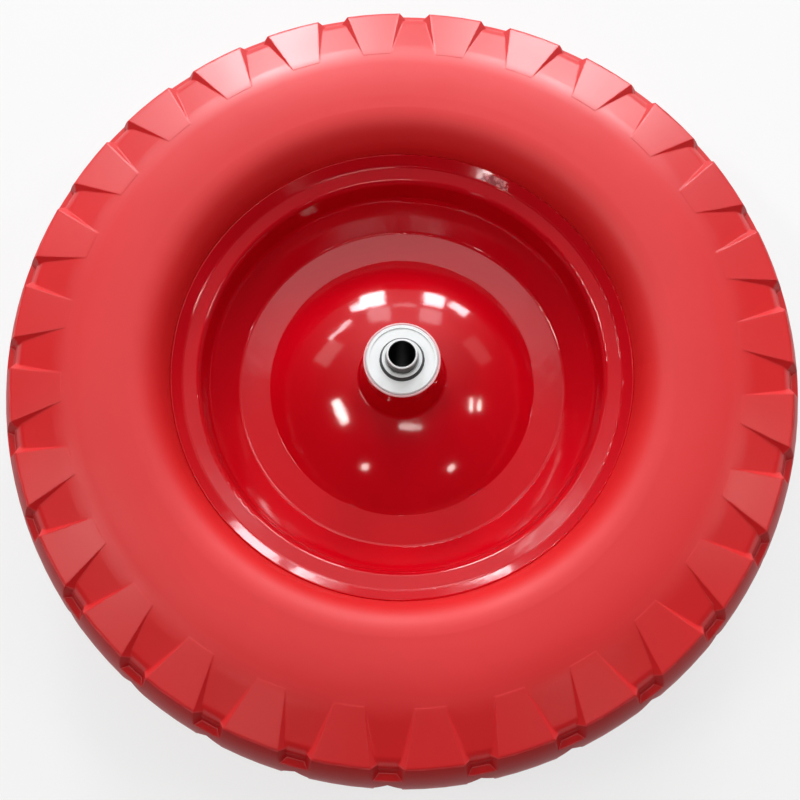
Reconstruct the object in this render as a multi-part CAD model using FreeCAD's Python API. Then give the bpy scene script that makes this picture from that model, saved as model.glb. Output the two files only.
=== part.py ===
import FreeCAD, Part
import math
import os

# Puncture-proof barrow wheel: a solid polyurethane tyre on a rim of two pressed steel halves.
# Two shielded ball bearings carry it on a steel sleeve. Lengths are in millimetres.
# The spin axis is Z and the origin is the wheel's centre, midway between the two halves.

Vector = FreeCAD.Vector
CENTRE = Vector(0, 0, 0)
SPIN_AXIS = Vector(0, 0, 1)

# Tyre outline
tyre_diameter = 400.0
tyre_width = 98.4
crown_radius = 89.0
shoulder_drop = 11.2
shoulder_width = 45.0
sidewall_rise = 5.6
sidewall_corner_radius = 18.0
sidewall_break_radius = 88.0
tyre_bore_share = 0.4

# Tread lugs and the grooves between them
lugs_per_side = 28
first_groove_angle = 10.9
groove_depth = 3.0
groove_edge_drop = 1.8
groove_shoulder_radius = 9.0
lug_inner_offset = 9.5
lug_root_sink = 0.1
lug_edge_radius = 2.0
notch_inner_half_width = 11.5
notch_edge_half_width = 8.0
notch_end_half_width = 7.0
notch_wall_slope = 1.0
notch_edge_overrun = 13.0
notch_end_slope = 1.0
pocket_half_width = 7.0
pocket_straight_half_length = 9.0
pocket_half_length = 22.0
pocket_wall_slope = 0.6

# One pressed half of the rim
sheet_thickness = 1.2
sheet_edge_bulge = 0.3
lip_edge_radius = 113.3
lip_rise = 4.7
lip_lean = 4.5
lip_bend_radius = 1.5
flange_height = 28.5
flange_width = 8.8
flange_bend_radius = 2.6
bead_seat_depth = 15.0
bead_seat_taper = 2.6
well_bend_radius = 6.0
well_wall_run = 14.0
weld_ring_width = 15.8
weld_ring_bend_radius = 2.5
dome_edge_radius = 1.0
dome_rise = 17.8
dome_sphere_radius = 126.0
dome_straight_share = 0.03
collar_base_growth = 4.25
collar_base_fillet = 1.4
collar_bend_radius = 8.0
collar_step = 1.3
collar_step_width = 2.5
collar_flare_width = 4.0

# Ball bearing of 15 x 35 x 11
bearing_bore = 15.0
bearing_outer_diameter = 35.0
bearing_width = 11.0
bearing_proud = 1.0
ball_diameter = 5.953
ball_count = 8
race_clearance = 0.07
inner_ring_wall = 3.1
outer_ring_wall = 3.0
ring_corner = 0.6
shield_thickness = 0.5
shield_recess = 0.4
shield_seat_depth = 1.3
shield_running_gap = 0.3
ring_collar_height = 2.0
ring_collar_wall = 2.25
ring_mouth_chamfer = 0.8

# Ribbon cage
cage_sheet = 0.55
cage_band_width = 2.0
cage_ball_clearance = 0.07
rivet_radius = 0.5
rivet_head_radius = 0.85
rivet_head_height = 0.35

# Axle sleeve and spacer
sleeve_length = 116.0
sleeve_projection = 9.5
sleeve_wall = 1.25
sleeve_chamfer = 0.45
spacer_bore_clearance = 0.1
spacer_wall = 2.4

# Sizes that follow from the ones above
tyre_radius = tyre_diameter / 2
sidewall_flat_radius = tyre_radius - shoulder_width
lug_inner_radius = sidewall_flat_radius + lug_inner_offset
tread_ring_depth = 2 * groove_depth
crown_centre_radius = tyre_radius - crown_radius
crown_edge_height = tyre_width / 2 - shoulder_drop
notch_end_height = crown_edge_height - notch_edge_overrun
flange_inner_radius = lip_edge_radius - lip_lean - flange_width
bead_seat_radius = flange_inner_radius - bead_seat_taper
weld_ring_outer_radius = bead_seat_radius - well_wall_run
weld_ring_inner_radius = weld_ring_outer_radius - weld_ring_width
bearing_radius = bearing_outer_diameter / 2
collar_base_radius = bearing_radius + collar_base_growth
bearing_mid_height = sleeve_length / 2 - sleeve_projection - bearing_width / 2
bearing_inner_face = bearing_mid_height - bearing_width / 2
collar_end_height = bearing_mid_height + bearing_width / 2 - bearing_proud
ball_radius = ball_diameter / 2
ball_circle_radius = (bearing_bore + bearing_outer_diameter) / 4
race_radius = ball_radius + race_clearance
inner_ring_radius = bearing_bore / 2 + inner_ring_wall
outer_ring_bore_radius = bearing_radius - outer_ring_wall
sleeve_bore_radius = bearing_bore / 2 - sleeve_wall


def point(radius, height):
    return Vector(radius, 0, height)


def rounded_path(corners):
    """Edges through corners (radius, height, fillet) of a section; a fillet of 0 stays sharp."""
    places = [point(corner[0], corner[1]) for corner in corners]
    edges = []
    start = places[0]
    for index in range(1, len(corners)):
        here = places[index]
        fillet = corners[index][2]
        if fillet == 0 or index == len(corners) - 1:
            edges.append(Part.LineSegment(start, here).toShape())
            start = here
            continue
        back = (places[index - 1] - here).normalize()
        ahead = (places[index + 1] - here).normalize()
        half_angle = back.getAngle(ahead) / 2
        reach = fillet / math.tan(half_angle)
        inward = (back + ahead).normalize()
        arc_start = here + back * reach
        arc_middle = here + inward * (fillet / math.sin(half_angle) - fillet)
        arc_end = here + ahead * reach
        if start.distanceToPoint(arc_start) > 0.001:
            edges.append(Part.LineSegment(start, arc_start).toShape())
        edges.append(Part.Arc(arc_start, arc_middle, arc_end).toShape())
        start = arc_end
    return edges


def offset_corners(corners, distance):
    """The path moved to the right of its direction, with its fillets grown or shrunk to match."""
    moved = []
    for index, corner in enumerate(corners):
        directions = []
        if index > 0:
            before = corners[index - 1]
            directions.append((point(*corner[:2]) - point(*before[:2])).normalize())
        if index < len(corners) - 1:
            after = corners[index + 1]
            directions.append((point(*after[:2]) - point(*corner[:2])).normalize())
        first = directions[0]
        last = directions[-1]
        normal = Vector(first.z + last.z, 0, -first.x - last.x).normalize()
        mitre = distance / normal.dot(Vector(first.z, 0, -first.x))
        turn = first.x * last.z - first.z * last.x
        fillet = corner[2]
        if fillet > 0 and turn > 0:
            fillet += distance
        elif fillet > 0:
            fillet -= distance
        moved.append((corner[0] + normal.x * mitre, corner[1] + normal.z * mitre, fillet))
    return moved


def share_between(first, second, share):
    """A sharp corner on the straight run from one corner to the next."""
    radius = first[0] + (second[0] - first[0]) * share
    height = first[1] + (second[1] - first[1]) * share
    return (radius, height, 0)


def rounded_end(first, second):
    """The rounded edge of the sheet, bulging to the right of the way from first to second."""
    start = point(*first[:2])
    end = point(*second[:2])
    across = end - start
    bulge = Vector(across.z, 0, -across.x) * sheet_edge_bulge
    return Part.Arc(start, (start + end) * 0.5 + bulge, end).toShape()


def turned(edges):
    """A solid turned about the spin axis from a closed section."""
    section = Part.Face(Part.Wire(edges))
    return section.revolve(CENTRE, SPIN_AXIS, 360)


def turned_polygon(corners):
    first = corners[0]
    return turned(rounded_path(corners + [(first[0], first[1], 0)]))


def mirrored(shape):
    """The same shape on the rear side of the wheel."""
    return shape.mirror(CENTRE, SPIN_AXIS)


def lifted(shape, height):
    copy = shape.copy()
    copy.translate(Vector(0, 0, height))
    return copy


def around(shape, count, start_angle=0.0):
    """Copies evenly spaced about the spin axis."""
    copies = []
    for index in range(count):
        copy = shape.copy()
        copy.rotate(CENTRE, SPIN_AXIS, start_angle + index * 360.0 / count)
        copies.append(copy)
    return copies


def tube(inner_radius, outer_radius, bottom, top):
    return turned_polygon([
        (inner_radius, bottom, 0),
        (outer_radius, bottom, 0),
        (outer_radius, top, 0),
        (inner_radius, top, 0),
    ])


def rim_face_corners():
    """The visible side of one pressed half, from the end of its collar out to its lip."""
    dome_top = sheet_thickness + dome_rise
    ring = weld_ring_inner_radius
    dome_centre = dome_top - math.sqrt(dome_sphere_radius ** 2 - collar_base_radius ** 2)
    top_slope = collar_base_radius / (dome_top - dome_centre)
    foot_slope = 2 * dome_rise / (ring - collar_base_radius) - top_slope
    middle = (dome_rise - foot_slope * ring + top_slope * collar_base_radius) / (top_slope - foot_slope)
    middle_height = dome_top - top_slope * (middle - collar_base_radius)
    return [
        (bearing_radius + sheet_thickness, collar_end_height, 0),
        (bearing_radius + sheet_thickness, bearing_inner_face - collar_step_width, collar_bend_radius),
        (collar_base_radius, dome_top, collar_base_fillet),
        (middle, middle_height, dome_sphere_radius * (1 - dome_straight_share)),
        (ring, sheet_thickness, dome_edge_radius),
        (weld_ring_outer_radius, sheet_thickness, weld_ring_bend_radius),
        (bead_seat_radius, flange_height - bead_seat_depth, well_bend_radius),
        (flange_inner_radius, flange_height, flange_bend_radius),
        (lip_edge_radius - lip_lean, flange_height, lip_bend_radius),
        (lip_edge_radius, flange_height + lip_rise, 0),
    ]


def make_rim_half(face):
    """One half: flange lip, bead seat, well, flat weld ring, dome and the collar for the bearing."""
    back = offset_corners(face, sheet_thickness)
    step_radius = bearing_radius - collar_step
    step_height = bearing_inner_face - collar_step_width
    flare_share = collar_flare_width / (back[1][1] - back[2][1])
    inside = [
        (bearing_radius, collar_end_height, 0),
        (bearing_radius, bearing_inner_face, 0),
        (step_radius, bearing_inner_face, 0),
        (step_radius, step_height, 0),
        share_between(back[1], back[2], flare_share),
    ] + back[2:]
    lip_end = rounded_end(back[-1], face[-1])
    collar_end = rounded_end(face[0], inside[0])
    return turned(rounded_path(face) + [lip_end] + rounded_path(inside)[::-1] + [collar_end])


def crown_run(depth, edge_height, fillet):
    """A crown's rounded edge and the point where its arc begins, sunk by a depth."""
    arc_radius = crown_radius - depth
    run = 1.1 * fillet
    start_height = edge_height - run
    start_reach = math.sqrt(arc_radius ** 2 - start_height ** 2)
    edge_reach = start_reach - run * start_height / start_reach
    edge = (crown_centre_radius + edge_reach, edge_height, fillet)
    return [edge, (crown_centre_radius + start_reach, start_height, 0)]


def lug_crown():
    return crown_run(0, crown_edge_height, lug_edge_radius)


def floor_crown():
    return crown_run(groove_depth, crown_edge_height - groove_edge_drop, groove_shoulder_radius)


def lug_inner_corner():
    """The lugs' inner end, sunk from the line of the floor's straight run to meet its rounded start."""
    half_width = tyre_width / 2
    floor_edge = floor_crown()[0]
    slope = (half_width - floor_edge[1]) / (floor_edge[0] - sidewall_flat_radius)
    floor_height = half_width - (lug_inner_radius - sidewall_flat_radius) * slope
    return (lug_inner_radius, floor_height - lug_root_sink, 0)


def symmetric_section(front, depth):
    """A closed section: its front half, an arc across the crown and the mirrored rear half."""
    start = front[-1].Vertexes[-1].Point
    foot = front[0].Vertexes[0].Point
    crown = Part.Arc(start, point(tyre_radius - depth, 0), point(start.x, -start.z)).toShape()
    closing = Part.LineSegment(point(foot.x, -foot.z), foot).toShape()
    rear = [mirrored(edge) for edge in front[::-1]]
    return front + [crown] + rear + [closing]


def make_tyre_body(face):
    """The tyre without its lugs, seated on both rim halves; its skin is the grooves' floor."""
    back = offset_corners(face, sheet_thickness)
    well_foot = back[-5]
    bead_seat = back[-4:]
    lip = back[-1]
    seat = [share_between(well_foot, bead_seat[0], tyre_bore_share)] + bead_seat
    side = [
        (lip[0], lip[1], 0),
        (lip[0] + sidewall_rise, tyre_width / 2, sidewall_corner_radius),
        (sidewall_flat_radius, tyre_width / 2, sidewall_break_radius),
    ] + floor_crown()
    return turned(symmetric_section(rounded_path(seat) + rounded_path(side), groove_depth))


def make_tread_ring():
    """The rubber that stands out of the tyre's body, with a root inside it, before it is cut."""
    inner = lug_inner_corner()
    outline = [
        (tyre_radius - 2 * tread_ring_depth, crown_edge_height - tread_ring_depth, 0),
        (inner[0], inner[1] - tread_ring_depth, 0),
        inner,
    ] + lug_crown()
    return turned(symmetric_section(rounded_path(outline), 0))


def make_shoulder_notch():
    """Cutter for one groove: across the shoulder, over the crown's edge and down to its end."""
    mitre = Vector(1, 0, 1).normalize()
    inner = point(*lug_inner_corner()[:2])
    edge = point(*lug_crown()[0][:2])
    end_reach = math.sqrt(crown_radius ** 2 - notch_end_height ** 2)
    end = point(crown_centre_radius + end_reach, notch_end_height)
    outward = Vector(end_reach, 0, notch_end_height).normalize()
    downward = Vector(outward.z, 0, -outward.x)
    end_rise = outward + downward * notch_end_slope

    def half_width(place, goal, goal_half_width):
        """The walls spread along the mitre and change evenly on the way from the edge to the goal."""
        offset = place - edge
        way = goal - edge
        cross = mitre.x * way.z - mitre.z * way.x
        rise = (offset.x * way.z - offset.z * way.x) / cross
        share = (mitre.x * offset.z - mitre.z * offset.x) / cross
        change = goal_half_width - notch_edge_half_width
        return notch_edge_half_width + notch_wall_slope * rise + change * share

    beyond = inner + (inner - edge) * (tread_ring_depth / (lug_inner_radius - crown_centre_radius))
    stations = [
        (beyond, mitre, inner, notch_inner_half_width),
        (edge, mitre, inner, notch_inner_half_width),
        (end, end_rise, end, notch_end_half_width),
    ]
    outlines = []
    for place, rise, goal, goal_half_width in stations:
        low = place - rise * (1.5 * groove_depth)
        high = place + rise * (2 * groove_depth)
        low_half = half_width(low, goal, goal_half_width)
        high_half = half_width(high, goal, goal_half_width)
        corners = [
            Vector(low.x, -low_half, low.z),
            Vector(low.x, low_half, low.z),
            Vector(high.x, high_half, high.z),
            Vector(high.x, -high_half, high.z),
        ]
        outlines.append(Part.makePolygon(corners + [corners[0]]))
    return Part.makeLoft(outlines, True, True)


def make_crown_pocket():
    """Cutter for one pocket in the middle of the crown, a six-sided pyramid with its point inside."""
    tip_depth = pocket_half_width / pocket_wall_slope
    height = tip_depth + 2 * groove_depth
    growth = height / tip_depth
    width = pocket_half_width * growth
    straight = pocket_straight_half_length * growth
    length = pocket_half_length * growth
    outline = [(0, length), (width, straight), (width, -straight)]
    outline += [(-side, -along) for side, along in outline]
    outer = tyre_radius - tip_depth + height
    base = [Vector(outer, side, along) for side, along in outline]
    tip = Vector(tyre_radius - tip_depth, 0, 0)
    sides = [Part.Face(Part.makePolygon(base + [base[0]]))]
    for index, corner in enumerate(base):
        following = base[(index + 1) % len(base)]
        sides.append(Part.Face(Part.makePolygon([corner, following, tip, corner])))
    return Part.makeSolid(Part.makeShell(sides))


def make_tyre(face):
    notch = make_shoulder_notch()
    pocket = make_crown_pocket()
    cutters = []
    for cutter in (notch, mirrored(notch), pocket):
        cutters += around(cutter, lugs_per_side, first_groove_angle)
    tread = make_tread_ring().cut(cutters)
    return make_tyre_body(face).fuse(tread)


def ball_centres():
    step = 2 * math.pi / ball_count
    angles = [index * step for index in range(ball_count)]
    return [Vector(ball_circle_radius * math.cos(a), ball_circle_radius * math.sin(a), 0) for a in angles]


def make_outer_ring():
    """The ring in the collar, with its ball groove and a seat for a shield at each end."""
    half = bearing_width / 2
    seat_radius = outer_ring_bore_radius + shield_seat_depth
    seat_height = half - shield_recess - shield_thickness
    ring = turned_polygon([
        (seat_radius, half, 0),
        (bearing_radius - ring_corner, half, 0),
        (bearing_radius, half - ring_corner, 0),
        (bearing_radius, ring_corner - half, 0),
        (bearing_radius - ring_corner, -half, 0),
        (seat_radius, -half, 0),
        (seat_radius, -seat_height, 0),
        (outer_ring_bore_radius, -seat_height, 0),
        (outer_ring_bore_radius, seat_height, 0),
        (seat_radius, seat_height, 0),
    ])
    return ring.cut(Part.makeTorus(ball_circle_radius, race_radius))


def make_inner_ring():
    """The ring on the sleeve, with its ball groove and a collar that stands proud of the shield."""
    half = bearing_width / 2
    bore = bearing_bore / 2
    collar_top = half + ring_collar_height
    ring = turned_polygon([
        (bore, -half, 0),
        (inner_ring_radius, -half, 0),
        (inner_ring_radius, half, 0),
        (bore + ring_collar_wall, collar_top, 0),
        (bore + ring_mouth_chamfer, collar_top, 0),
        (bore, collar_top - ring_mouth_chamfer, 0),
    ])
    return ring.cut(Part.makeTorus(ball_circle_radius, race_radius))


def make_shield():
    """The outer shield: a thin disc on its seat in the outer ring, clear of the inner ring."""
    top = bearing_width / 2 - shield_recess
    inner = inner_ring_radius + shield_running_gap
    return tube(inner, outer_ring_bore_radius + shield_seat_depth, top - shield_thickness, top)


def make_balls():
    return Part.makeCompound([Part.makeSphere(ball_radius, centre) for centre in ball_centres()])


def rivet_places():
    place = Vector(ball_circle_radius, 0, 0)
    rotation = FreeCAD.Rotation(SPIN_AXIS, 180.0 / ball_count)
    return rotation.multVec(place)


def make_cage_half():
    """The outer half of the ribbon: flat between the balls and cupped over each of them."""
    inner = ball_circle_radius - cage_band_width / 2
    outer = ball_circle_radius + cage_band_width / 2
    cup_radius = ball_radius + cage_ball_clearance
    band = tube(inner, outer, 0, cup_radius + cage_sheet)
    cups = [Part.makeSphere(cup_radius + cage_sheet, centre) for centre in ball_centres()]
    hollows = [Part.makeSphere(cup_radius, centre) for centre in ball_centres()]
    hole = Part.makeCylinder(rivet_radius, 2 * cage_sheet, rivet_places() - Vector(0, 0, cage_sheet / 2))
    strip = tube(inner, outer, 0, cage_sheet)
    cupped = band.common(Part.makeCompound(cups))
    return strip.fuse(cupped).cut(hollows + around(hole, ball_count))


def make_rivets():
    half = cage_sheet + rivet_head_height
    stem = Part.makeCylinder(rivet_radius, 2 * half, rivet_places() - Vector(0, 0, half))
    head = Part.makeCylinder(rivet_head_radius, rivet_head_height, rivet_places() + Vector(0, 0, cage_sheet))
    rivet = stem.fuse([head, mirrored(head)]).removeSplitter()
    return Part.makeCompound(around(rivet, ball_count))


def make_sleeve():
    """The plain tube for the axle, through both bearings."""
    half = sleeve_length / 2
    outer = bearing_bore / 2
    return turned_polygon([
        (sleeve_bore_radius, -half, 0),
        (outer - sleeve_chamfer, -half, 0),
        (outer, sleeve_chamfer - half, 0),
        (outer, half - sleeve_chamfer, 0),
        (outer - sleeve_chamfer, half, 0),
        (sleeve_bore_radius, half, 0),
    ])


def make_spacer():
    inner = bearing_bore / 2 + spacer_bore_clearance
    return tube(inner, inner + spacer_wall, -bearing_inner_face, bearing_inner_face)


def bearing_pieces():
    """The pieces of one bearing about its own middle, with its outer side up."""
    shield = make_shield()
    cage_half = make_cage_half()
    return {
        "bearing_outer_ring": make_outer_ring(),
        "bearing_inner_ring": make_inner_ring(),
        "bearing_balls": make_balls(),
        "cage_outer_half": cage_half,
        "cage_inner_half": mirrored(cage_half),
        "cage_rivets": make_rivets(),
        "outer_shield": shield,
        "inner_shield": mirrored(shield),
    }


def main():
    face = rim_face_corners()
    front_half = make_rim_half(face)
    pieces = {
        "tyre": make_tyre(face),
        "front_rim_half": front_half,
        "rear_rim_half": mirrored(front_half),
        "spacer_tube": make_spacer(),
        "axle_sleeve": make_sleeve(),
    }
    for name, shape in bearing_pieces().items():
        placed = lifted(shape, bearing_mid_height)
        pieces["front_" + name] = placed
        pieces["rear_" + name] = mirrored(placed)
    os.makedirs("parts", exist_ok=True)
    for name, shape in pieces.items():
        shape.exportStep("parts/" + name + ".step")


main()
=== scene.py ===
import math

import bpy
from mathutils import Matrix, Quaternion, Vector

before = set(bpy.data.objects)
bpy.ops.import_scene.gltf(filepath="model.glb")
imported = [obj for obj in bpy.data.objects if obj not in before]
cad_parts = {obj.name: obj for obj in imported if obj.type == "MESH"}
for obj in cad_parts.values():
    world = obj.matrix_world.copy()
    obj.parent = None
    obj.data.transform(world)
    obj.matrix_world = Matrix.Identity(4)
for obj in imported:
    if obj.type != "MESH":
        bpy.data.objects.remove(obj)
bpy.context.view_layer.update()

# Camera. Lengths are in metres and angles in degrees.
CAMERA_PLACE = Vector((0.0, -0.1966, 0.7238))
CAMERA_FOCAL_SHARE = 1460 / 800
CAMERA_NEAR_LIMIT = 0.01
SENSOR_WIDTH = 36.0
AIM_RIGHT = -2 / 800
AIM_UP = -14.3 / 800

# Stage: a round floor that bends up into a wall
FLOOR_HEIGHT = -0.058
FLOOR_RADIUS = 3.2
BEND_RADIUS = 0.6
BEND_STEPS = 8
WALL_HEIGHT = 0.75
STAGE_SIDES = 96
FLOOR_WHITE = 0.25
FLOOR_GLOW = 0.71
FLOOR_ROUGHNESS = 0.9
FLOOR_GLOSS = 0.1

# Sky: an even dim level and a soft bright patch towards the top of the picture
SKY_LEVEL = 0.04
PATCH_BEARING = 0.0
PATCH_ELEVATION = 48.0
PATCH_LEVEL = 1.2
PATCH_POWER = 8.0

# Each lamp: compass bearing from +Y, elevation, width, height, roll, radiance and colour
LAMP_DISTANCE = 4.0
DAYLIGHT = (0.92, 0.96, 1.0)
LAMPLIGHT = (1.0, 0.96, 0.92)
LAMPS = {
    "window_left": (-14.0, 29.5, 0.68, 0.62, -6.0, 29.0, DAYLIGHT),
    "window_left_wing": (-22.0, 31.0, 0.32, 0.32, -10.0, 22.0, DAYLIGHT),
    "window_left_side": (-36.0, 38.0, 0.84, 0.18, 6.0, 14.0, DAYLIGHT),
    "window_right": (15.0, 29.0, 0.60, 0.58, 8.0, 24.0, DAYLIGHT),
    "window_right_side": (27.5, 27.5, 0.60, 0.50, -10.0, 19.0, DAYLIGHT),
    "high_window_right": (27.0, 64.0, 0.62, 0.26, 0.0, 9.0, DAYLIGHT),
    "blind_left": (-13.0, 40.0, 0.66, 0.60, -8.0, 4.0, DAYLIGHT),
    "blind_middle": (1.5, 35.5, 0.70, 0.16, 0.0, 3.0, DAYLIGHT),
    "blind_right": (16.0, 40.0, 0.66, 0.60, 8.0, 3.6, DAYLIGHT),
    "high_window_left": (-18.0, 65.0, 0.34, 0.10, 0.0, 12.0, DAYLIGHT),
    "curtain_left": (-50.0, 43.0, 0.90, 0.60, 0.0, 1.7, LAMPLIGHT),
    "curtain_right": (50.0, 41.0, 0.90, 0.60, 0.0, 0.7, LAMPLIGHT),
    "lamp_left": (-93.0, 59.0, 0.84, 0.30, 20.0, 30.0, LAMPLIGHT),
    "lamp_right_low": (86.0, 51.0, 0.36, 0.05, -8.0, 80.0, LAMPLIGHT),
    "lamp_right_high": (86.0, 55.5, 0.44, 0.05, -8.0, 80.0, LAMPLIGHT),
    "lamp_near_left": (-148.0, 54.0, 0.18, 0.14, 40.0, 27.0, LAMPLIGHT),
    "lamp_near_right": (140.0, 50.0, 0.24, 0.11, 0.0, 27.0, LAMPLIGHT),
    "lamp_zenith": (158.0, 79.0, 0.80, 0.18, -22.0, 12.0, LAMPLIGHT),
    "ceiling": (0.0, 70.5, 1.0, 0.5, 0.0, 1.0, DAYLIGHT),
    "fill": (180.0, 84.0, 2.4, 1.6, 0.0, 1.65, DAYLIGHT),
}
UNSEEN_IN_GLOSS = ("fill",)

# Polyurethane. Colour stops are (share, colour); pairs are the least and the most over a noise.
TYRE_REDS = [(0.35, (0.74, 0.0082, 0.011)), (0.65, (0.81, 0.0125, 0.0155))]
LUG_START_RADIUS = 0.158
LUG_FULL_RADIUS = 0.168
SIDEWALL_ROUGHNESS = (0.40, 0.60)
LUG_ROUGHNESS = (0.28, 0.36)
SIDEWALL_GLOSS = 0.66
LUG_GLOSS = 1.0
CROWN_GLOSS_SHARE = 0.02
CROWN_STARTS_AT = 0.85
CROWN_FULL_AT = 0.55
MOULD_EDGE_RADIUS = 0.0012
EDGE_SAMPLES = 6
PARTING_HALF_WIDTH = 0.0004

# Enamel. A slope is the radius where it starts, the radius where it ends, and its rise.
ENAMEL_REDS = [(0.3, (0.54, 0.0008, 0.0065)), (0.7, (0.62, 0.0010, 0.0092))]
ENAMEL_ROUGHNESS = (0.05, 0.12)
FLANGE_DISH = (0.1000, 0.1085, 0.00145)
LIP_FLARE = (0.1090, 0.1133, -0.00178)
COLLAR_END_HEIGHT = 0.0470
# Collar's end: worn thin enamel, its pale pink partly a painted reflection of the red round it
WORN_END_AND_REFLECTION_PINK = (0.90, 0.52, 0.54)

# A painted reflection of a lamp on the front lip: a ragged pale pink patch with darker flecks
GLARE_PINKS = [(0.42, (0.42, 0.06, 0.07)), (0.58, (0.97, 0.36, 0.37))]
GLARE_PLACE = (0.0474, 0.0993)
GLARE_REACH = 0.017
GLARE_INNER_RADIUS = 0.1092
GLARE_OUTER_RADIUS = 0.1124
GLARE_THRESHOLD = 1.10
GLARE_ADDED_ROUGHNESS = 0.22

# Metals, with painted light: faces looking along the axle are painted bright as if lit, and the sides round
# them are painted dark as shade. A face's normal has a larger share along the axle than the limit.
FACE_LIMIT = 0.5
FACE_GLOSS = 0.5
SIDE_GLOSS = 0.15
PAINTED_LIT_FACES = [(0.3, (0.94, 0.95, 0.94)), (0.7, (0.99, 0.99, 0.99))]
BALL_FACES = [(0.3, (0.75, 0.75, 0.77)), (0.7, (0.82, 0.82, 0.84))]
DULL_METALLIC = 0.1
SMOOTHER_SPOTS = 0.06
ROUGHER_SPOTS = 0.08
SLEEVE_BORE_LIMIT = 0.0066
SLEEVE_GLOSS = 0.5
# Painted shade: the near black of the hole's inside
BORE_PAINTED_SHADE = (0.012, 0.012, 0.011)
BORE_GLOSS = 0.1


class Graph:
    """A node tree being built. Each method adds a step and returns its output."""

    def __init__(self, tree):
        self.nodes = tree.nodes
        self.links = tree.links

    def feed(self, socket, value):
        """Gives a socket another node's output, a plain colour or a plain value."""
        if isinstance(value, bpy.types.NodeSocket):
            self.links.new(value, socket)
        elif isinstance(value, tuple):
            socket.default_value = (*value, 1.0)
        else:
            socket.default_value = value

    def add(self, kind, settings=None, **values):
        """A node with its settings, and its inputs by their labels."""
        node = self.nodes.new(kind)
        for key, value in (settings or {}).items():
            setattr(node, key, value)
        for label, value in values.items():
            self.feed(node.inputs[label.replace("_", " ")], value)
        return node

    def coordinates(self, kind):
        shared = self.nodes.get("Place") or self.add("ShaderNodeTexCoord", {"name": "Place"})
        return shared.outputs[kind]

    def split(self, vector):
        return self.add("ShaderNodeSeparateXYZ", Vector=vector).outputs

    def noise(self, scale, detail=3.0, roughness=0.5):
        place = self.coordinates("Object")
        node = self.add("ShaderNodeTexNoise", Vector=place, Scale=scale, Detail=detail, Roughness=roughness)
        return node.outputs["Fac"]

    def ramp(self, source, stops):
        """A colour ramp through stops of (share, colour)."""
        node = self.add("ShaderNodeValToRGB", Fac=source)
        elements = node.color_ramp.elements
        for element, (share, colour) in zip(elements, stops):
            element.position = share
            element.color = (*colour, 1.0)
        return node.outputs["Color"]

    def math(self, operation, first, second=0.0):
        step = self.add("ShaderNodeMath", {"operation": operation})
        self.feed(step.inputs[0], first)
        self.feed(step.inputs[1], second)
        return step.outputs[0]

    def spread(self, source, low, high, start=0.0, end=1.0):
        """Takes source from start..end to low..high."""
        step = self.add(
            "ShaderNodeMapRange", Value=source, From_Min=start, From_Max=end, To_Min=low, To_Max=high)
        return step.outputs["Result"]

    def mix(self, factor, first, second):
        """A colour between two."""
        step = self.add("ShaderNodeMix", {"data_type": "RGBA"}, Factor=factor)
        self.feed(step.inputs[6], first)
        self.feed(step.inputs[7], second)
        return step.outputs[2]

    def distance(self, across, along):
        """The length of a step with these two sides."""
        squares = [self.math("MULTIPLY", side, side) for side in (across, along)]
        return self.math("SQRT", self.math("ADD", *squares))

    def radius_and_height(self):
        """Distance from the axle, and height along it."""
        place = self.split(self.coordinates("Object"))
        return self.distance(place["X"], place["Y"]), place["Z"]

    def share_along_axle(self):
        """1 where a face looks along the axle, 0 where it looks straight away from it."""
        return self.math("ABSOLUTE", self.split(self.coordinates("Normal"))["Z"])

    def spot(self, middle, reach):
        """1 at a place on the wheel's side, falling to 0 at a reach from it."""
        place = self.split(self.coordinates("Object"))
        across = self.math("SUBTRACT", place["X"], middle[0])
        along = self.math("SUBTRACT", place["Y"], middle[1])
        return self.math("SUBTRACT", 1.0, self.math("DIVIDE", self.distance(across, along), reach))

    def soft_edges(self, radius):
        """A normal that rounds the mesh's edges over a radius."""
        return self.add("ShaderNodeBevel", {"samples": EDGE_SAMPLES}, Radius=radius).outputs["Normal"]

    def bump(self, height, strength, distance, below=None):
        """A normal raised by a height; below is the normal that it starts from."""
        step = self.add("ShaderNodeBump", Height=height, Strength=strength, Distance=distance)
        if below is not None:
            self.feed(step.inputs["Normal"], below)
        return step.outputs["Normal"]

    def lean(self, radius, slope, below=None):
        """Leans the face between two radii, as if it rose or fell by an amount."""
        start, end, rise = slope
        low, high = (0.0, 1.0) if rise > 0 else (1.0, 0.0)
        height = self.spread(radius, low, high, start, end)
        return self.bump(height, strength=1.0, distance=abs(rise), below=below)


def new_material(name):
    """A material, the graph to build it with, and its shader's inputs."""
    material = bpy.data.materials.new(name)
    material.use_nodes = True
    return material, Graph(material.node_tree), material.node_tree.nodes["Principled BSDF"].inputs


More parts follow.
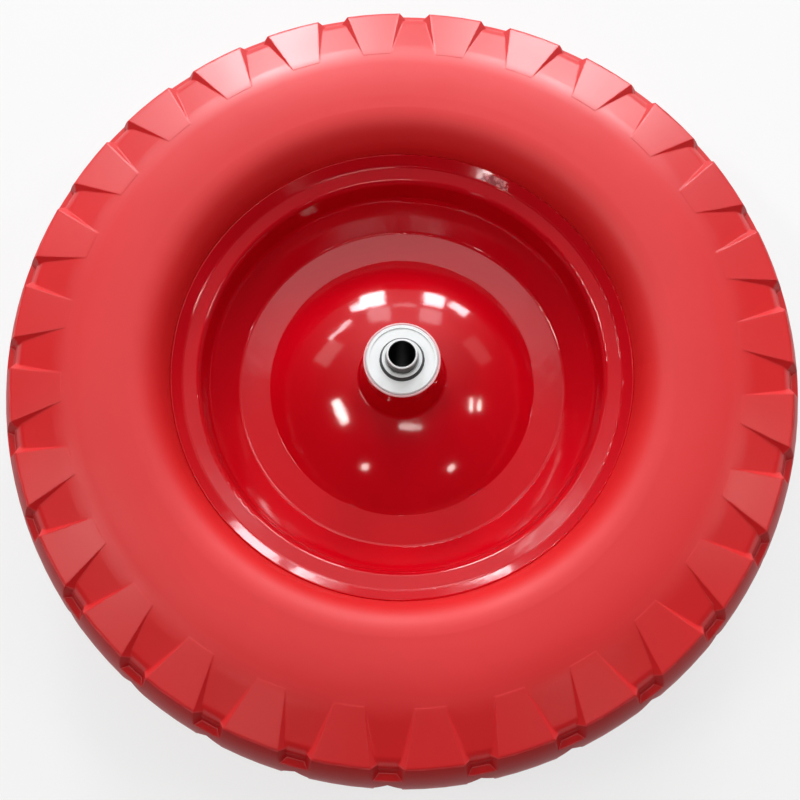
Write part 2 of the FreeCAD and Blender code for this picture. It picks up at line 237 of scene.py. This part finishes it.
def make_polyurethane():
    """Matt moulded skin, smoother on the lugs, with clouding, grain and the parting line."""
    material, graph, shader = new_material("polyurethane_red")
    radius, height = graph.radius_and_height()
    on_lugs = graph.spread(radius, 0.0, 1.0, LUG_START_RADIUS, LUG_FULL_RADIUS)
    outward = graph.spread(graph.share_along_axle(), 0.0, 1.0, CROWN_STARTS_AT, CROWN_FULL_AT)
    on_crown = graph.math("MULTIPLY", outward, on_lugs)

    graph.feed(shader["Base Color"], graph.ramp(graph.noise(scale=9.0, detail=4.0), TYRE_REDS))

    smears = graph.noise(scale=22.0, detail=6.0, roughness=0.6)
    matte = graph.spread(smears, *SIDEWALL_ROUGHNESS)
    smooth = graph.spread(smears, *LUG_ROUGHNESS)
    graph.feed(shader["Roughness"], graph.spread(on_lugs, matte, smooth))

    gloss = graph.spread(on_lugs, SIDEWALL_GLOSS, LUG_GLOSS)
    crown_share = graph.spread(on_crown, 1.0, CROWN_GLOSS_SHARE)
    graph.feed(shader["Specular IOR Level"], graph.math("MULTIPLY", gloss, crown_share))

    on_line = graph.math("LESS_THAN", graph.math("ABSOLUTE", height), PARTING_HALF_WIDTH)
    soft = graph.soft_edges(MOULD_EDGE_RADIUS)
    waves = graph.bump(graph.noise(scale=20.0, detail=2.0), strength=0.4, distance=0.0006, below=soft)
    parting = graph.bump(on_line, strength=0.5, distance=0.0002, below=waves)
    grain = graph.bump(graph.noise(scale=1300.0, detail=2.0), strength=0.14, distance=0.0001, below=parting)
    graph.feed(shader["Normal"], grain)
    return material


def find_painted_glare(graph, radius, height):
    """1 on the front lip where a lamp's reflection is painted, 0 elsewhere."""
    glare_breakup = graph.noise(scale=560.0, detail=5.0, roughness=0.75)
    ragged = graph.math("ADD", graph.spot(GLARE_PLACE, GLARE_REACH), glare_breakup)
    tests = [
        graph.math("GREATER_THAN", ragged, GLARE_THRESHOLD),
        graph.math("GREATER_THAN", radius, GLARE_INNER_RADIUS),
        graph.math("LESS_THAN", radius, GLARE_OUTER_RADIUS),
        graph.math("GREATER_THAN", height, 0.0),
    ]
    glare_patch = tests[0]
    for test in tests[1:]:
        glare_patch = graph.math("MULTIPLY", glare_patch, test)
    return glare_patch


def make_enamel():
    """Glossy dipped enamel with a slight ripple; the collar's end is worn and painted pale pink, partly as
    a reflection of the red round it, and a lamp's reflection is painted on the lip.
    """
    material, graph, shader = new_material("enamel_red")
    radius, height = graph.radius_and_height()
    # painted reflection: where a lamp's glare is painted on the lip
    glare_patch = find_painted_glare(graph, radius, height)

    whole = graph.ramp(graph.noise(scale=14.0), ENAMEL_REDS)
    on_end = graph.math("GREATER_THAN", graph.math("ABSOLUTE", height), COLLAR_END_HEIGHT)
    # worn collar end, painted pale pink partly as a reflection of the red round it
    worn_and_reflection = graph.mix(on_end, whole, WORN_END_AND_REFLECTION_PINK)
    # painted reflection: pale pink glare with darker flecks
    glare_colour = graph.ramp(graph.noise(scale=420.0, detail=4.0, roughness=0.6), GLARE_PINKS)
    graph.feed(shader["Base Color"], graph.mix(glare_patch, worn_and_reflection, glare_colour))

    smooth = graph.spread(graph.noise(scale=60.0), *ENAMEL_ROUGHNESS)
    # rougher where the lamp's glare is painted
    glare_roughness = graph.math("MULTIPLY", glare_patch, GLARE_ADDED_ROUGHNESS)
    graph.feed(shader["Roughness"], graph.math("ADD", smooth, glare_roughness))

    dished = graph.lean(radius, FLANGE_DISH)
    flared = graph.lean(radius, LIP_FLARE, dished)
    sag = graph.bump(graph.noise(scale=38.0, detail=1.5), strength=0.25, distance=0.0006, below=flared)
    ripple = graph.bump(graph.noise(scale=240.0, detail=2.0), strength=0.10, distance=0.0002, below=sag)
    graph.feed(shader["Normal"], ripple)
    return material


def metal_parts(name, sides, rough, grain, faces=PAINTED_LIT_FACES, metallic=DULL_METALLIC):
    """Painted light: faces across the axle are painted bright as if lit, and the sides round them are
    painted darker as shade.
    """
    material, graph, shader = new_material(name)
    on_face = graph.math("GREATER_THAN", graph.share_along_axle(), FACE_LIMIT)
    bright = graph.ramp(graph.noise(scale=120.0, detail=4.0), faces)
    # painted light: faces along the axle take the bright, lit colour and the sides take the dark, shaded
    # colour
    colour = graph.mix(on_face, sides, bright)
    graph.feed(shader["Base Color"], colour)
    graph.feed(shader["Metallic"], metallic)
    graph.feed(shader["Specular IOR Level"], graph.spread(on_face, SIDE_GLOSS, FACE_GLOSS))
    spots = graph.noise(scale=400.0)
    graph.feed(shader["Roughness"], graph.spread(spots, rough - SMOOTHER_SPOTS, rough + ROUGHER_SPOTS))
    scratches = graph.noise(scale=grain, detail=2.0)
    graph.feed(shader["Normal"], graph.bump(scratches, strength=0.15, distance=0.00005))
    return material, graph, shader, colour


def make_metal(name, **finish):
    return metal_parts(name, **finish)[0]


def make_sleeve_zinc():
    """Dull bright zinc outside; the bore is painted near black as the shade inside the hole."""
    # the dark side colour given here is painted shade
    material, graph, shader, outside = metal_parts(
        "zinc_plate", sides=(0.05, 0.05, 0.045), rough=0.36, grain=900.0)
    radius, height = graph.radius_and_height()
    in_bore = graph.math("LESS_THAN", radius, SLEEVE_BORE_LIMIT)
    # painted shade: the bore is coloured near black, not metallic and with little gloss, as the dark inside
    # of the hole
    graph.feed(shader["Base Color"], graph.mix(in_bore, outside, BORE_PAINTED_SHADE))
    graph.feed(shader["Metallic"], graph.spread(in_bore, DULL_METALLIC, 0.0))
    graph.feed(shader["Specular IOR Level"], graph.spread(in_bore, SLEEVE_GLOSS, BORE_GLOSS))
    return material


def coat(node_name, material):
    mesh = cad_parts[node_name].data
    mesh.materials.clear()
    mesh.materials.append(material)


def dress_nodes():
    """Gives every node of the frame its material."""
    polyurethane = make_polyurethane()
    enamel = make_enamel()
    zinc = make_sleeve_zinc()
    # the side colours below are painted shade, and the face colours are painted light
    ring_steel = make_metal("ground_steel", sides=(0.08, 0.08, 0.08), rough=0.32, grain=2500.0)
    shield_steel = make_metal("shield_steel", sides=(0.3, 0.3, 0.3), rough=0.34, grain=1200.0)
    ball_steel = make_metal(
        "ball_steel", sides=(0.8, 0.8, 0.82), rough=0.10, grain=300.0, faces=BALL_FACES, metallic=0.95)
    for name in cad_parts:
        if name == "tyre":
            coat(name, polyurethane)
        elif name.endswith("rim_half"):
            coat(name, enamel)
        elif name in ("axle_sleeve", "spacer_tube"):
            coat(name, zinc)
        elif "shield" in name or "cage" in name:
            coat(name, shield_steel)
        elif "balls" in name:
            coat(name, ball_steel)
        else:
            coat(name, ring_steel)


def direction(bearing, elevation):
    """The unit step towards a compass bearing and an elevation."""
    turn = math.radians(bearing)
    rise = math.radians(elevation)
    return Vector((math.sin(turn) * math.cos(rise), math.cos(turn) * math.cos(rise), math.sin(rise)))


def aim(thing, target):
    thing.rotation_mode = "QUATERNION"
    thing.rotation_quaternion = (target - thing.location).to_track_quat("-Z", "Y")


def make_lamps():
    """Flat lamps where the room's windows and lamps stand, aimed at the wheel."""
    for name, (bearing, elevation, width, height, roll, radiance, colour) in LAMPS.items():
        data = bpy.data.lights.new(name, "AREA")
        data.shape = "RECTANGLE"
        data.size = width
        data.size_y = height
        data.energy = radiance * math.pi * width * height
        data.color = colour
        lamp = bpy.data.objects.new(name, data)
        lamp.location = direction(bearing, elevation) * LAMP_DISTANCE
        aim(lamp, Vector((0, 0, 0)))
        lamp.rotation_quaternion @= Quaternion((0, 0, 1), math.radians(roll))
        lamp.visible_camera = False
        lamp.visible_glossy = name not in UNSEEN_IN_GLOSS
        bpy.context.collection.objects.link(lamp)


def make_sky():
    world = bpy.data.worlds.new("sky")
    world.use_nodes = True
    graph = Graph(world.node_tree)
    background = world.node_tree.nodes["Background"].inputs
    facing = graph.add("ShaderNodeVectorMath", {"operation": "DOT_PRODUCT"})
    graph.feed(facing.inputs[0], graph.coordinates("Generated"))
    graph.feed(facing.inputs[1], direction(PATCH_BEARING, PATCH_ELEVATION))
    towards = graph.math("MAXIMUM", facing.outputs["Value"], 0.0)
    patch = graph.math("MULTIPLY", graph.math("POWER", towards, PATCH_POWER), PATCH_LEVEL)
    graph.feed(background["Strength"], graph.math("ADD", patch, SKY_LEVEL))
    graph.feed(background["Color"], (1.0, 1.0, 1.0))
    bpy.context.scene.world = world


def make_pale_surface():
    """Diffuse white; what the camera or a gloss sees of it has a share of plain glow."""
    material, graph, shader = new_material("pale_stage")
    graph.feed(shader["Base Color"], (FLOOR_WHITE, FLOOR_WHITE, FLOOR_WHITE))
    graph.feed(shader["Roughness"], FLOOR_ROUGHNESS)
    graph.feed(shader["Specular IOR Level"], FLOOR_GLOSS)
    rays = graph.add("ShaderNodeLightPath").outputs
    seen = graph.math("MAXIMUM", rays["Is Camera Ray"], rays["Is Glossy Ray"])
    seen = graph.math("MAXIMUM", seen, rays["Is Transmission Ray"])
    graph.feed(shader["Emission Color"], (1.0, 1.0, 1.0))
    graph.feed(shader["Emission Strength"], graph.math("MULTIPLY", seen, FLOOR_GLOW))
    return material


def stage_outline():
    """Radius and height of each ring of the stage, from the floor's edge outwards."""
    rings = [(FLOOR_RADIUS, 0.0)]
    for step in range(1, BEND_STEPS + 1):
        turn = math.radians(step * 90 / BEND_STEPS)
        across = BEND_RADIUS * math.sin(turn)
        up = BEND_RADIUS - BEND_RADIUS * math.cos(turn)
        rings.append((FLOOR_RADIUS + across, up))
    rings.append((FLOOR_RADIUS + BEND_RADIUS, WALL_HEIGHT))
    return rings


def make_stage():
    """A round pale floor with a wall round it."""
    rings = stage_outline()
    vertices = [(0.0, 0.0, FLOOR_HEIGHT)]
    for radius, height in rings:
        for side in range(STAGE_SIDES):
            turn = 2 * math.pi * side / STAGE_SIDES
            vertices.append((radius * math.cos(turn), radius * math.sin(turn), FLOOR_HEIGHT + height))
    faces = [(0, 1 + side, 1 + (side + 1) % STAGE_SIDES) for side in range(STAGE_SIDES)]
    for ring in range(len(rings) - 1):
        low = 1 + ring * STAGE_SIDES
        high = low + STAGE_SIDES
        for side in range(STAGE_SIDES):
            after = (side + 1) % STAGE_SIDES
            faces.append((low + side, high + side, high + after, low + after))
    mesh = bpy.data.meshes.new("stage")
    mesh.from_pydata(vertices, [], faces)
    mesh.update()
    mesh.materials.append(make_pale_surface())
    stage = bpy.data.objects.new("stage", mesh)
    bpy.context.collection.objects.link(stage)


def make_camera():
    data = bpy.data.cameras.new("camera")
    data.sensor_width = SENSOR_WIDTH
    data.lens = SENSOR_WIDTH * CAMERA_FOCAL_SHARE
    data.shift_x = AIM_RIGHT
    data.shift_y = AIM_UP
    data.clip_start = CAMERA_NEAR_LIMIT
    camera = bpy.data.objects.new("camera", data)
    camera.location = CAMERA_PLACE
    aim(camera, Vector((0, 0, 0)))
    bpy.context.collection.objects.link(camera)
    bpy.context.scene.camera = camera


dress_nodes()
make_camera()
make_sky()
make_lamps()
make_stage()
bpy.context.scene.view_settings.view_transform = "Standard"
